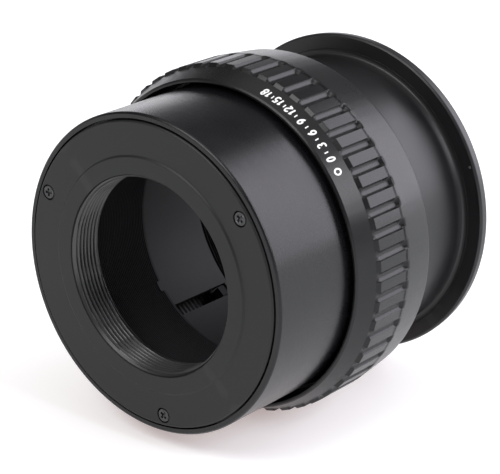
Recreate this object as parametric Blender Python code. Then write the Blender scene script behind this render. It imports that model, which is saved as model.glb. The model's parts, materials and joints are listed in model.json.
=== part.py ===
"""Focusing helicoid lens adapter: screw lens mount in front, bayonet at the back.

The optical axis lies along Y, the lens side faces -Y and the camera side +Y.
Stations along the axis are given in millimetres behind the front boss face.
Clock angles run from straight up towards +X, seen from the lens side.
"""
import math

import bmesh
import bpy
from mathutils import Matrix, Vector

MM = 0.001

# driving sizes
TRAVEL = 18.0            # how far each barrel runs into the focus ring
GAP = 0.3                # running clearance
THROAT_R = 20.5          # screw mount's throat
THROAT_WALL = 3.4
THROAT_DEPTH = 7.4
BOSS_WIDTH = 4.75        # raised boss round the throat
PLATE_STEP = 0.3
PLATE_BACK = 2.0
RIM_WALL = 1.6           # barrel rim outside the mount plate
BARREL_RIM = 0.7
LEDGE_BACK = 4.4         # back of the ledge the mount plate is screwed to
SCREW_INSET = 2.3        # mount screws in from the plate's edge
SCREW_CLOCKS = (53.3, 173.3, 293.3)

# nested tubes, from the light path outwards
INNER_ROOM = 2.1
INNER_WALL = 1.0
GUIDE_GAP = 0.4
GUIDE_WALL = 1.0
KEY_ROOM = 2.0
REAR_WALL = 1.0
THREAD_GAP = 0.35
SLEEVE_WALL = 0.9
BARREL_WALL = 0.95
SHELL_GAP = 0.4
DUST_GAP = 1.0          # dark gap seen between barrel and ring
RING_WALL = 3.25
FLUTE_DEPTH = 0.75

INNER_R = THROAT_R + THROAT_WALL + INNER_ROOM
INNER_OUT = INNER_R + INNER_WALL
GUIDE_BORE = INNER_OUT + GUIDE_GAP
GUIDE_R = GUIDE_BORE + GUIDE_WALL
REAR_BORE = GUIDE_R + KEY_ROOM
REAR_R = REAR_BORE + REAR_WALL
SLEEVE_BORE = REAR_R + THREAD_GAP
SLEEVE_R = SLEEVE_BORE + SLEEVE_WALL
BARREL_BORE = SLEEVE_R + GAP
BARREL_R = BARREL_BORE + BARREL_WALL
RING_BORE_DEEP = BARREL_R + SHELL_GAP
RING_BORE = BARREL_R + DUST_GAP
PAD_R = RING_BORE + RING_WALL
FLUTE_R = PAD_R - FLUTE_DEPTH
COLLAR_FRONT_R = RING_BORE + 0.25 * RING_WALL
COLLAR_BACK_R = RING_BORE + 0.75 * RING_WALL
BAND_BACK_R = RING_BORE + 0.7 * RING_WALL
PLATE_R = BARREL_R - RIM_WALL
BOSS_R = THROAT_R + BOSS_WIDTH
SCREW_PCR = PLATE_R - SCREW_INSET
SLEEVE_FLANGE_R = RING_BORE_DEEP + 1.9
SLEEVE_SCREW_PCR = RING_BORE_DEEP + 0.9

# ring, camera flange and bayonet
FRONT_PROUD = 4.5        # barrel left in front of the ring when retracted
RING_EXTRA = 5.3         # ring length beyond the travel
REAR_PROUD = 2.5         # barrel left behind the ring when retracted
SLEEVE_FLANGE_WIDTH = 1.1
FLANGE_WIDTH = 5.05
FLANGE_DEPTH = 3.16
BAYONET_DEPTH = 4.54
BAYONET_INSET = 1.36
BAYONET_WALL = 1.3
LUG_HEIGHT = 1.6
LUG_DEPTH = 1.5
LUG_CLOCKS = (20.0, 110.0, 200.0, 290.0)
LUG_HALF = 16.0
BAYONET_SCREW_CLOCKS = (65.0, 155.0, 245.0, 335.0)
LOCK_CLOCK = 90.0
DOT_CLOCK = 68.3

FLANGE_R = REAR_R + FLANGE_WIDTH
REAR_THROAT = REAR_BORE - 4.8
BAYONET_BORE = REAR_THROAT - GAP
BAYONET_TUBE_R = BAYONET_BORE + BAYONET_WALL
BAYONET_PLATE_R = REAR_R - 0.2
BAYONET_SCREW_PCR = (BAYONET_TUBE_R + BAYONET_PLATE_R) / 2.0
LUG_R = BAYONET_TUBE_R + LUG_HEIGHT

# stations along the axis
LIP = 0.5
GUIDE_FLANGE = 0.6
RETAINER = 0.5
KEY_LENGTH = 2.0
SLOT_WIDTH = 3.0
SLOT_CLOCKS = (39.5, 129.5, 219.5, 309.5)
SLOT_END = 0.4           # slot left over past a key at its stop
RIVET_R = 0.45
SCREW_HEAD_R = 1.35
SCREW_SHANK_R = 0.6
DOT_R = 0.45
LOCK_R = 1.4
RING_FRONT = TRAVEL + FRONT_PROUD
RING_BACK = RING_FRONT + TRAVEL + RING_EXTRA
FLANGE_FRONT = RING_BACK + TRAVEL + REAR_PROUD
REGISTER = FLANGE_FRONT + FLANGE_DEPTH
LENGTH = REGISTER + BAYONET_DEPTH
SLEEVE_FRONT = LEDGE_BACK + TRAVEL + GAP
SLEEVE_FLANGE = RING_BACK - SLEEVE_FLANGE_WIDTH
BARREL_END = SLEEVE_FLANGE - GAP - TRAVEL
INNER_END = BARREL_END + 1.2
GUIDE_FRONT = SLEEVE_FRONT + LIP + GAP
RETAINER_FRONT = GUIDE_FRONT + GUIDE_FLANGE + GAP
REAR_FRONT = RETAINER_FRONT + RETAINER + GAP + TRAVEL
FRONT_KEY = INNER_END - 1.3
REAR_KEY = REAR_FRONT + 1.3
SLOT_FRONT = min(FRONT_KEY, REAR_KEY - TRAVEL) - KEY_LENGTH / 2.0 - SLOT_END
SLOT_BACK = max(FRONT_KEY + TRAVEL, REAR_KEY) + KEY_LENGTH / 2.0 + SLOT_END
GUIDE_BACK = SLOT_BACK + 1.0

# grip pads
PAD_COUNT = 54
PAD_PHASE = 0.0           # a pad is lowest at rest, so the part stands on its flat
PAD_TOP_HALF = 1.7
PAD_BASE_HALF = 2.3
COLLAR = 4.4             # smooth collar in front of the pads
BAND = 8.9               # smooth band behind the pads

AXIS_HEIGHT = PAD_R
TURNED = 48              # facets round a turned piece

BLACK = (0.022, 0.022, 0.023)


def station(z):
    """Y coordinate in metres of a station z millimetres behind the front face."""
    return (z - LENGTH / 2.0) * MM


def spot(clock, r, z):
    a = math.radians(clock)
    return Vector((r * MM * math.sin(a), station(z), (AXIS_HEIGHT + r * math.cos(a)) * MM))


def clear_scene():
    for ob in list(bpy.data.objects):
        bpy.data.objects.remove(ob, do_unlink=True)


def material(name, colour, roughness, metallic):
    mat = bpy.data.materials.new(name)
    mat.use_nodes = True
    shader = mat.node_tree.nodes["Principled BSDF"]
    shader.inputs["Base Color"].default_value = (*colour, 1.0)
    shader.inputs["Roughness"].default_value = roughness
    shader.inputs["Metallic"].default_value = metallic
    return mat


def finish(name, bm, mat, origin=None, smooth=35.0):
    """Turn a bmesh built in world space into an object with its origin on the axis."""
    bmesh.ops.recalc_face_normals(bm, faces=bm.faces)
    if bm.calc_volume(signed=True) < 0:
        bmesh.ops.reverse_faces(bm, faces=bm.faces)
    here = Vector(origin) if origin is not None else Vector((0.0, 0.0, AXIS_HEIGHT * MM))
    bmesh.ops.translate(bm, vec=-here, verts=bm.verts)
    mesh = bpy.data.meshes.new(name)
    bm.to_mesh(mesh)
    bm.free()
    mesh.shade_smooth()
    mesh.set_sharp_from_angle(angle=math.radians(smooth))
    mesh.materials.append(mat)
    ob = bpy.data.objects.new(name, mesh)
    ob.location = here
    bpy.context.collection.objects.link(ob)
    return ob


def turned(profile, count=TURNED, phase=0.0):
    """Revolve a closed (radius, station) outline about the optical axis."""
    bm = bmesh.new()
    rings = []
    for k in range(count):
        clock = phase + 360.0 * k / count
        rings.append([bm.verts.new(spot(clock, r, z)) for r, z in profile])
    for k in range(count):
        here, there = rings[k], rings[(k + 1) % count]
        for i in range(len(profile)):
            j = (i + 1) % len(profile)
            bm.faces.new((here[i], here[j], there[j], there[i]))
    return bm


def box_bm(size, centre, clock):
    """A box in millimetres, size (tangential, axial, radial), turned to a clock angle."""
    bm = bmesh.new()
    bmesh.ops.create_cube(bm, size=1.0)
    bmesh.ops.scale(bm, vec=Vector([s * MM for s in size]), verts=bm.verts)
    turn = Matrix.Rotation(math.radians(clock), 4, "Y")
    bmesh.ops.transform(bm, matrix=Matrix.Translation(centre) @ turn, verts=bm.verts)
    return bm


def rod_bm(radius, start, end, count=12):
    """A closed round bar between two points given in metres."""
    bm = bmesh.new()
    along = end - start
    turn = along.to_track_quat("Z", "Y").to_matrix().to_4x4()
    bmesh.ops.create_cone(bm, cap_ends=True, segments=count, radius1=radius * MM,
                          radius2=radius * MM, depth=along.length)
    move = Matrix.Translation((start + end) / 2.0) @ turn
    bmesh.ops.transform(bm, matrix=move, verts=bm.verts)
    return bm


def sink_bm(hole_r, head_r, start, seat, end, count=16):
    """A screw hole with a wide mouth, from start through the mouth's seat to the far end."""
    bm = bmesh.new()
    along = end - start
    turn = along.to_track_quat("Z", "Y").to_matrix().to_4x4()
    deep, full = (seat - start).length, along.length
    rings = []
    for r, z in ((head_r, 0.0), (head_r, deep), (hole_r, deep + 0.05 * MM), (hole_r, full)):
        rings.append([bm.verts.new((r * MM * math.cos(2 * math.pi * k / count),
                                    r * MM * math.sin(2 * math.pi * k / count), z))
                      for k in range(count)])
    for a, b in zip(rings[:-1], rings[1:]):
        for k in range(count):
            j = (k + 1) % count
            bm.faces.new((a[k], a[j], b[j], b[k]))
    bm.faces.new(rings[0][::-1])
    bm.faces.new(rings[-1])
    bmesh.ops.transform(bm, matrix=Matrix.Translation(start) @ turn, verts=bm.verts)
    return bm


def as_tool(bm, name):
    bmesh.ops.recalc_face_normals(bm, faces=bm.faces)
    mesh = bpy.data.meshes.new(name)
    bm.to_mesh(mesh)
    bm.free()
    ob = bpy.data.objects.new(name, mesh)
    ob.hide_render = True
    ob.display_type = "WIRE"
    bpy.context.collection.objects.link(ob)
    return ob


def combine(target, tools, operation):
    """Apply Boolean tools to a target and drop the tools."""
    for tool in tools:
        mod = target.modifiers.new("bool", "BOOLEAN")
        mod.operation = operation
        mod.object = tool
        mod.solver = "EXACT"
    depsgraph = bpy.context.evaluated_depsgraph_get()
    mesh = bpy.data.meshes.new_from_object(target.evaluated_get(depsgraph), depsgraph=depsgraph)
    mesh.name = target.name
    bm = bmesh.new()
    bm.from_mesh(mesh)
    bmesh.ops.remove_doubles(bm, verts=bm.verts, dist=2e-6)
    bmesh.ops.dissolve_degenerate(bm, dist=2e-6, edges=bm.edges)
    bm.to_mesh(mesh)
    bm.free()
    target.modifiers.clear()
    target.data = mesh
    for tool in tools:
        bpy.data.objects.remove(tool, do_unlink=True)
    return target


def screw(name, clock, r, face, direction, head_r, shank_r, head, length, mat):
    """A countersunk cross-slot screw; direction +1 drives it towards the camera side."""
    outline = [(0.0, 0.0), (head_r, 0.0), (head_r, head * 0.3), (shank_r, head),
               (shank_r, length), (0.0, length)]
    bm = bmesh.new()
    count = 16
    top = bm.verts.new((0.0, 0.0, 0.0))
    tip = bm.verts.new((0.0, 0.0, -length * MM))
    rings = []
    for rad, depth in outline[1:-1]:
        rings.append([bm.verts.new((rad * MM * math.cos(2 * math.pi * k / count),
                                    rad * MM * math.sin(2 * math.pi * k / count),
                                    -depth * MM)) for k in range(count)])
    for k in range(count):
        j = (k + 1) % count
        bm.faces.new((top, rings[0][k], rings[0][j]))
        for a, b in zip(rings[:-1], rings[1:]):
            bm.faces.new((a[k], b[k], b[j], a[j]))
        bm.faces.new((tip, rings[-1][j], rings[-1][k]))
    place = Matrix.Translation(spot(clock, r, face)) @ Matrix.Rotation(
        math.radians(90.0 * direction), 4, "X")
    bmesh.ops.transform(bm, matrix=place, verts=bm.verts)
    ob = finish(name, bm, mat, origin=spot(clock, r, face), smooth=30.0)
    arm, width, deep = head_r * 1.15, head_r * 0.22, head * 0.55
    tools = []
    for spin in (0.0, 90.0):
        size = (arm, 2 * deep, width) if spin == 0.0 else (width, 2 * deep, arm)
        cut = box_bm(size, spot(clock, r, face), clock + 20.0)
        tools.append(as_tool(cut, name + "_slot"))
    return combine(ob, tools, "DIFFERENCE")


def lens_mount_plate():
    tube = THROAT_R + THROAT_WALL
    outline = [(THROAT_R + 0.8, 0.0), (BOSS_R - 0.3, 0.0), (BOSS_R, PLATE_STEP),
               (PLATE_R - 0.3, PLATE_STEP), (PLATE_R, PLATE_STEP + 0.3), (PLATE_R, PLATE_BACK),
               (tube, PLATE_BACK), (tube, THROAT_DEPTH), (THROAT_R, THROAT_DEPTH), (THROAT_R, 1.1)]
    ob = finish("lens_mount_plate", turned(outline),
                material("plate_black", BLACK, 0.5, 0.3))
    tools = []
    for clock in SCREW_CLOCKS:
        start = spot(clock, SCREW_PCR, PLATE_STEP - 1.0)
        seat = spot(clock, SCREW_PCR, PLATE_STEP + 0.95)
        end = spot(clock, SCREW_PCR, PLATE_BACK + 1.0)
        tools.append(as_tool(sink_bm(SCREW_SHANK_R + GAP, SCREW_HEAD_R + GAP, start, seat, end), "sink"))
    return combine(ob, tools, "DIFFERENCE")


def front_barrel():
    outline = [(BARREL_R - 0.35, BARREL_RIM), (BARREL_R, BARREL_RIM + 0.35),
               (BARREL_R, BARREL_END - 0.3), (BARREL_R - 0.3, BARREL_END), (BARREL_BORE, BARREL_END),
               (BARREL_BORE, LEDGE_BACK), (INNER_OUT, LEDGE_BACK), (INNER_OUT, INNER_END),
               (INNER_R, INNER_END), (INNER_R, PLATE_BACK + GAP),
               (PLATE_R + 0.35, PLATE_BACK + GAP), (PLATE_R + 0.35, BARREL_RIM)]
    ob = finish("front_barrel", turned(outline), material("barrel_black", BLACK, 0.42, 0.4))
    tools = []
    for clock in SCREW_CLOCKS:
        tools.append(as_tool(rod_bm(SCREW_SHANK_R + GAP, spot(clock, SCREW_PCR, PLATE_BACK - 1.0),
                                    spot(clock, SCREW_PCR, LEDGE_BACK + 1.5), 12), "hole"))
    for clock in (SLOT_CLOCKS[1], SLOT_CLOCKS[3]):
        tools.append(as_tool(rod_bm(RIVET_R + GAP, spot(clock, INNER_R - 1.0, FRONT_KEY),
                                    spot(clock, INNER_OUT + 1.0, FRONT_KEY), 12), "rivet"))
    notch = box_bm((2.2, 2.4, 3.0 * INNER_WALL), spot(233.0, INNER_R + INNER_WALL / 2.0, INNER_END), 233.0)
    tools.append(as_tool(notch, "notch"))
    return combine(ob, tools, "DIFFERENCE")


def key(name, clock, r_low, r_high, z, pin_low, pin_high):
    """A slot key with the rivet that holds it to its barrel."""
    size = (SLOT_WIDTH - 2.0 * GAP, KEY_LENGTH, r_high - r_low)
    block = box_bm(size, spot(clock, (r_low + r_high) / 2.0, z), clock)
    ob = finish(name, block, material(name + "_steel", (0.1, 0.1, 0.105), 0.4, 0.9),
                origin=spot(clock, (r_low + r_high) / 2.0, z))
    pin = as_tool(rod_bm(RIVET_R, spot(clock, pin_low, z), spot(clock, pin_high, z), 10), "pin")
    return combine(ob, [pin], "UNION")


def focus_ring():
    """The grip: a coned collar, pads parted by flutes, and a smooth tapered band."""
    pitch = 360.0 / PAD_COUNT
    corners = ((-PAD_TOP_HALF, 0), (PAD_TOP_HALF, 0), (PAD_BASE_HALF, 1), (pitch - PAD_BASE_HALF, 1))
    pads, band = RING_FRONT + COLLAR, RING_BACK - BAND
    rows = [(RING_FRONT, COLLAR_FRONT_R, COLLAR_FRONT_R),
            (RING_FRONT + 0.35, COLLAR_FRONT_R + 0.35, COLLAR_FRONT_R + 0.35),
            (pads, COLLAR_BACK_R, COLLAR_BACK_R), (pads + 0.7, PAD_R, FLUTE_R),
            (band - 0.8, PAD_R, FLUTE_R), (band, PAD_R, PAD_R),
            (RING_BACK - 0.45, BAND_BACK_R, BAND_BACK_R),
            (RING_BACK, BAND_BACK_R - 0.35, BAND_BACK_R - 0.35)]
    seat_r, seat = SLEEVE_FLANGE_R + GAP, SLEEVE_FLANGE - GAP
    inner = [(seat_r, RING_BACK), (seat_r, seat), (RING_BORE_DEEP, seat),
             (RING_BORE_DEEP, RING_FRONT + 10.0), (RING_BORE, RING_FRONT + 10.0),
             (RING_BORE, RING_FRONT + 0.25), (RING_BORE + 0.2, RING_FRONT)]
    bm = bmesh.new()
    outer_rings = []
    for z, pad, flute in rows:
        ring = []
        for k in range(PAD_COUNT):
            for turn, low in corners:
                ring.append(bm.verts.new(spot(PAD_PHASE + k * pitch + turn, flute if low else pad, z)))
        outer_rings.append(ring)
    inner_rings = [[bm.verts.new(spot(PAD_PHASE + k * pitch - PAD_TOP_HALF, r, z))
                    for k in range(PAD_COUNT)] for r, z in inner]
    around = 4 * PAD_COUNT
    for a, b in zip(outer_rings[:-1], outer_rings[1:]):
        for k in range(around):
            j = (k + 1) % around
            bm.faces.new((a[k], a[j], b[j], b[k]))
    for a, b in zip(inner_rings[:-1], inner_rings[1:]):
        for k in range(PAD_COUNT):
            j = (k + 1) % PAD_COUNT
            bm.faces.new((a[k], a[j], b[j], b[k]))
    for out, ins in ((outer_rings[0], inner_rings[-1]), (outer_rings[-1], inner_rings[0])):
        for k in range(PAD_COUNT):
            j = (k + 1) % PAD_COUNT
            row = [out[(4 * k + i) % around] for i in range(5)]
            bm.faces.new(row + [ins[j], ins[k]])
    ob = finish("grip_ring", bm, material("grip_black", BLACK, 0.48, 0.35), smooth=25.0)
    tools = []
    for n in range(4):
        clock = 25.0 + 90.0 * n
        tools.append(as_tool(rod_bm(0.6, spot(clock, SLEEVE_SCREW_PCR, RING_BACK - 5.8),
                                    spot(clock, SLEEVE_SCREW_PCR, RING_BACK + 0.7), 12), "hole"))
    return combine(ob, tools, "DIFFERENCE")


def helicoid_sleeve():
    lip_r = SLEEVE_BORE - 0.85
    outline = [(lip_r, SLEEVE_FRONT), (SLEEVE_R, SLEEVE_FRONT),
               (SLEEVE_R, SLEEVE_FLANGE), (SLEEVE_FLANGE_R, SLEEVE_FLANGE),
               (SLEEVE_FLANGE_R, RING_BACK), (SLEEVE_BORE, RING_BACK),
               (SLEEVE_BORE, SLEEVE_FRONT + LIP), (lip_r, SLEEVE_FRONT + LIP)]
    ob = finish("helicoid_sleeve", turned(outline), material("sleeve_grey", (0.16, 0.16, 0.165), 0.4, 0.8))
    tools = []
    for n in range(4):
        clock = 25.0 + 90.0 * n
        start = spot(clock, SLEEVE_SCREW_PCR, SLEEVE_FLANGE - 0.7)
        end = spot(clock, SLEEVE_SCREW_PCR, RING_BACK + 1.0)
        tools.append(as_tool(rod_bm(0.6, start, end, 12), "hole"))
    return combine(ob, tools, "DIFFERENCE")


def guide_tube():
    rim, back = SLEEVE_BORE - GAP, GUIDE_FRONT + GUIDE_FLANGE
    outline = [(GUIDE_BORE, GUIDE_FRONT), (rim, GUIDE_FRONT), (rim, back), (GUIDE_R, back),
               (GUIDE_R, GUIDE_BACK), (GUIDE_BORE, GUIDE_BACK)]
    ob = finish("guide_tube", turned(outline), material("guide_black", (0.035, 0.035, 0.037), 0.45, 0.4))
    tools = []
    for clock in SLOT_CLOCKS:
        middle = spot(clock, (GUIDE_BORE + GUIDE_R) / 2.0, (SLOT_FRONT + SLOT_BACK) / 2.0)
        tools.append(as_tool(box_bm((SLOT_WIDTH, SLOT_BACK - SLOT_FRONT, 4.0), middle, clock), "slot"))
    return combine(ob, tools, "DIFFERENCE")


def guide_retainer():
    rim, back = SLEEVE_BORE - 0.25, RETAINER_FRONT + RETAINER
    outline = [(rim - 1.0, RETAINER_FRONT), (rim, RETAINER_FRONT), (rim, back), (rim - 1.0, back)]
    steel = material("retainer_steel", (0.2, 0.2, 0.21), 0.35, 1.0)
    return finish("guide_retainer", turned(outline), steel)


def rear_barrel():
    step, seat = (REAR_R + FLANGE_R) / 2.0 + 0.2, REGISTER - BAYONET_INSET - GAP
    outline = [(REAR_BORE, REAR_FRONT), (REAR_R - 0.2, REAR_FRONT), (REAR_R, REAR_FRONT + 0.2),
               (REAR_R, FLANGE_FRONT - 1.2), (REAR_R + 0.35, FLANGE_FRONT - 0.35),
               (REAR_R + 1.2, FLANGE_FRONT), (step, FLANGE_FRONT), (step + 0.25, FLANGE_FRONT + 0.2),
               (FLANGE_R - 0.3, FLANGE_FRONT + 0.2), (FLANGE_R, FLANGE_FRONT + 0.5),
               (FLANGE_R - 0.15, REGISTER - 0.9), (FLANGE_R - 0.9, REGISTER),
               (BAYONET_PLATE_R + GAP, REGISTER), (BAYONET_PLATE_R + GAP, seat),
               (REAR_THROAT, seat), (REAR_THROAT, FLANGE_FRONT), (REAR_BORE, FLANGE_FRONT)]
    ob = finish("rear_barrel", turned(outline), material("rear_black", BLACK, 0.45, 0.4))
    tools = []
    for clock in BAYONET_SCREW_CLOCKS:
        tools.append(as_tool(rod_bm(0.75, spot(clock, BAYONET_SCREW_PCR, FLANGE_FRONT - 0.8),
                                    spot(clock, BAYONET_SCREW_PCR, REGISTER - 0.5), 12), "hole"))
    for clock in (SLOT_CLOCKS[0], SLOT_CLOCKS[2]):
        tools.append(as_tool(rod_bm(RIVET_R + GAP, spot(clock, REAR_BORE - 0.6, REAR_KEY),
                                    spot(clock, REAR_R + 0.6, REAR_KEY), 12), "rivet"))
    dot = rod_bm(DOT_R + GAP, spot(DOT_CLOCK, FLANGE_R - 1.1, FLANGE_FRONT - 0.5),
                 spot(DOT_CLOCK, FLANGE_R - 1.1, FLANGE_FRONT + 0.9), 12)
    tools.append(as_tool(dot, "dot"))
    lock = rod_bm(LOCK_R + GAP, spot(LOCK_CLOCK, BAYONET_SCREW_PCR, REGISTER - 2.6),
                  spot(LOCK_CLOCK, BAYONET_SCREW_PCR, REGISTER + 1.0), 16)
    tools.append(as_tool(lock, "lock"))
    return combine(ob, tools, "DIFFERENCE")


def index_dot():
    low, high = FLANGE_FRONT + 0.15, FLANGE_FRONT + 0.6
    bm = rod_bm(DOT_R, spot(DOT_CLOCK, FLANGE_R - 1.1, low), spot(DOT_CLOCK, FLANGE_R - 1.1, high), 12)
    return finish("index_dot", bm, material("dot_white", (0.8, 0.8, 0.78), 0.5, 0.0),
                  origin=spot(DOT_CLOCK, FLANGE_R - 1.1, low))


def bayonet_ring():
    count = 60
    plate, tube = REGISTER - BAYONET_INSET, BAYONET_TUBE_R
    outline = [("r", BAYONET_BORE, plate), ("r", BAYONET_PLATE_R, plate),
               ("r", BAYONET_PLATE_R, REGISTER - 0.15), ("r", BAYONET_PLATE_R - 0.15, REGISTER),
               ("r", tube, REGISTER), ("r", tube, LENGTH - LUG_DEPTH), ("lug", LUG_R, LENGTH - LUG_DEPTH),
               ("lug", LUG_R, LENGTH), ("r", tube - 0.3, LENGTH), ("r", BAYONET_BORE, LENGTH)]
    bm = bmesh.new()
    rings = []
    for k in range(count):
        clock = 360.0 * k / count
        on_lug = any(abs((clock - c + 180.0) % 360.0 - 180.0) <= LUG_HALF for c in LUG_CLOCKS)
        rings.append([bm.verts.new(spot(clock, tube if kind == "lug" and not on_lug else r, z))
                      for kind, r, z in outline])
    for k in range(count):
        here, there = rings[k], rings[(k + 1) % count]
        for i in range(len(outline)):
            j = (i + 1) % len(outline)
            bm.faces.new((here[i], here[j], there[j], there[i]))
    bmesh.ops.remove_doubles(bm, verts=bm.verts, dist=1e-6)
    bmesh.ops.dissolve_degenerate(bm, dist=1e-6, edges=bm.edges)
    ob = finish("bayonet_ring", bm, material("bayonet_chrome", (0.62, 0.62, 0.6), 0.25, 1.0))
    tools = []
    for clock in BAYONET_SCREW_CLOCKS:
        start = spot(clock, BAYONET_SCREW_PCR, REGISTER + 1.0)
        seat = spot(clock, BAYONET_SCREW_PCR, REGISTER - 0.75)
        end = spot(clock, BAYONET_SCREW_PCR, plate - 1.0)
        tools.append(as_tool(sink_bm(0.75, 1.45, start, seat, end), "sink"))
    tools.append(as_tool(rod_bm(LOCK_R, spot(LOCK_CLOCK, BAYONET_SCREW_PCR, plate - 1.0),
                                spot(LOCK_CLOCK, BAYONET_SCREW_PCR, REGISTER + 1.0), 16), "lock"))
    return combine(ob, tools, "DIFFERENCE")


def adapter():
    clear_scene()
    pieces = [lens_mount_plate(), front_barrel(), focus_ring(), helicoid_sleeve(), guide_tube(),
              guide_retainer(), rear_barrel(), index_dot(), bayonet_ring()]
    steel = (0.1, 0.1, 0.105)
    for n, clock in enumerate(SCREW_CLOCKS, 1):
        name = "mount_screw_%d" % n
        pieces.append(screw(name, clock, SCREW_PCR, PLATE_STEP + 0.05, 1, SCREW_HEAD_R, SCREW_SHANK_R,
                            0.8, LEDGE_BACK - 0.5,
                            material(name + "_black", steel, 0.35, 0.9)))
    for n in range(4):
        name = "sleeve_screw_%d" % (n + 1)
        pieces.append(screw(name, 25.0 + 90.0 * n, SLEEVE_SCREW_PCR, RING_BACK + 0.35, -1, 0.9, 0.35,
                            0.3, 4.6, material(name + "_black", steel, 0.35, 0.9)))
    for n, clock in enumerate(BAYONET_SCREW_CLOCKS, 1):
        name = "bayonet_screw_%d" % n
        pieces.append(screw(name, clock, BAYONET_SCREW_PCR, REGISTER - 0.1, -1, 1.15, 0.45, 0.35, 2.9,
                            material(name + "_steel", (0.4, 0.4, 0.41), 0.3, 1.0)))
    for n, clock in enumerate((SLOT_CLOCKS[1], SLOT_CLOCKS[3]), 1):
        pieces.append(key("front_key_%d" % n, clock, INNER_OUT + 0.25, GUIDE_R, FRONT_KEY,
                          INNER_R + 0.15, INNER_OUT + 0.6))
    for n, clock in enumerate((SLOT_CLOCKS[0], SLOT_CLOCKS[2]), 1):
        pieces.append(key("rear_key_%d" % n, clock, GUIDE_BORE + GAP, REAR_BORE - GAP, REAR_KEY,
                          REAR_BORE - 0.9, REAR_R - 0.3))
    root = bpy.data.objects.new("adapter", None)
    bpy.context.collection.objects.link(root)
    for ob in pieces:
        ob.parent = root
    return pieces


adapter()
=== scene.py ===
# A focusing lens adapter in black anodised aluminium. A threaded plate in front, a ring that turns, a bayonet behind.
import json
import math
import bmesh
import bpy
import numpy as np
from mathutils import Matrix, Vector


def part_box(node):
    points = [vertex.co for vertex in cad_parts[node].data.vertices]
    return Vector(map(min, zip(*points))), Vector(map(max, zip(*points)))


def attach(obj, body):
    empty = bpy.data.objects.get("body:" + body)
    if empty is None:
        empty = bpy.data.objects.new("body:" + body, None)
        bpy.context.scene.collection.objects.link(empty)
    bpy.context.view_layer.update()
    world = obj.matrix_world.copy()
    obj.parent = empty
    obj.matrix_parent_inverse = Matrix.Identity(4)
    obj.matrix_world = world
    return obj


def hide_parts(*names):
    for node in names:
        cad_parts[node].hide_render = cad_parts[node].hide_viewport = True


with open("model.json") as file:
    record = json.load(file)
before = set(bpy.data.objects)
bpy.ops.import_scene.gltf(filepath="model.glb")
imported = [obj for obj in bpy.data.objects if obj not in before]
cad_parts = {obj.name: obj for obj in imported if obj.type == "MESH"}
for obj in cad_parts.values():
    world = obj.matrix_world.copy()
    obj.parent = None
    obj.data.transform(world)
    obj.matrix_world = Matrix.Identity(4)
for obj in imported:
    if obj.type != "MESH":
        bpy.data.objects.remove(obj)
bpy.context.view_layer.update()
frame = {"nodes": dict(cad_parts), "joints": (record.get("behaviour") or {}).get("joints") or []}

print("frame loaded with", len(frame["nodes"]), "nodes")

mm = 0.001
axisHeight = next(j for j in frame["joints"] if j["name"] == "focus_turn")["pos_m"][2]
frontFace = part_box("lens_mount_plate")[0].y   # station 0, where all stations are counted from, in mm


# Placing and meshing

def place(radius, clock, station):
    # distance from the axis, angle from straight up towards +X, distance behind the front face
    radius, clock, station = np.broadcast_arrays(radius, clock, station)
    return np.stack([radius * mm * np.sin(clock), frontFace + station * mm,
                     axisHeight + radius * mm * np.cos(clock)], -1)


def evenClocks(count):
    return np.arange(count) * 2 * math.pi / count


def arcGap(clock, centre):
    # the signed angle from centre to clock, between half a turn back and half a turn on
    return (clock - centre + math.pi) % (2 * math.pi) - math.pi


def clearOf(clocks, centres, reach):
    # the clocks that lie further than reach from every centre
    return clocks[np.all(np.abs(arcGap(clocks[:, None], np.atleast_1d(centres)[None, :])) > reach, axis=1)]


def gridQuads(rows, columns, closeRows=False, closeColumns=False):
    # each cell of the grid joins four neighbouring points, and a closed direction wraps round to the first
    i, j = np.meshgrid(np.arange(rows if closeRows else rows - 1),
                       np.arange(columns if closeColumns else columns - 1), indexing="ij")
    k, l = (i + 1) % rows, (j + 1) % columns
    return np.stack([i * columns + j, i * columns + l, k * columns + l, k * columns + j], -1).reshape(-1, 4)


def newObject(name, data):
    added = bpy.data.objects.new(name, data)
    bpy.context.scene.collection.objects.link(added)
    return added


def meshFrom(name, points, quads, weld=0.0, sharp=38.0):
    # the signed volume is a sixth of the sum of a . (b x c) over the triangles, and a negative one turns the faces
    points = points.reshape(-1, 3)
    a, b, c, d = (points[quads[:, k]] - points.mean(0) for k in range(4))
    volume = (a * np.cross(b, c)).sum() + (a * np.cross(c, d)).sum()
    if volume < 0:
        quads = quads[:, ::-1]
    quads = np.ascontiguousarray(quads, dtype=np.int32)
    mesh = bpy.data.meshes.new(name)
    mesh.vertices.add(len(points))
    mesh.vertices.foreach_set("co", points.astype(np.float32).ravel())
    mesh.loops.add(quads.size)
    mesh.loops.foreach_set("vertex_index", quads.ravel())
    mesh.polygons.add(len(quads))
    mesh.polygons.foreach_set("loop_start", np.arange(0, quads.size, 4, dtype=np.int32))
    mesh.update(calc_edges=True)
    if weld:
        bm = bmesh.new()
        bm.from_mesh(mesh)
        bmesh.ops.remove_doubles(bm, verts=bm.verts, dist=weld)
        bmesh.ops.recalc_face_normals(bm, faces=bm.faces)
        bm.to_mesh(mesh)
        bm.free()
    mesh.validate()
    mesh.shade_smooth()
    mesh.set_sharp_from_angle(angle=math.radians(sharp))
    return newObject(name, mesh)


def adopt(piece, material, body, slotName, *nodes):
    piece.data.materials.append(material)
    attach(piece, body)
    if nodes:
        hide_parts(*nodes)


def paintInside(piece, reach, material):
    # faces whose middle lies nearer to the axis than reach take the second material
    piece.data.materials.append(material)
    count = len(piece.data.polygons)
    middles = np.zeros(count * 3)
    piece.data.polygons.foreach_get("center", middles)
    middles = middles.reshape(-1, 3)
    inner = np.hypot(middles[:, 0], middles[:, 2] - axisHeight) < reach * mm
    piece.data.polygons.foreach_set("material_index", inner.astype(np.int32))


# a corner's rounding and its support points, as shares of the side and of the rounding
rounding = {"longest": 0.4, "support": 1.8, "furthest": 0.45}


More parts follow.
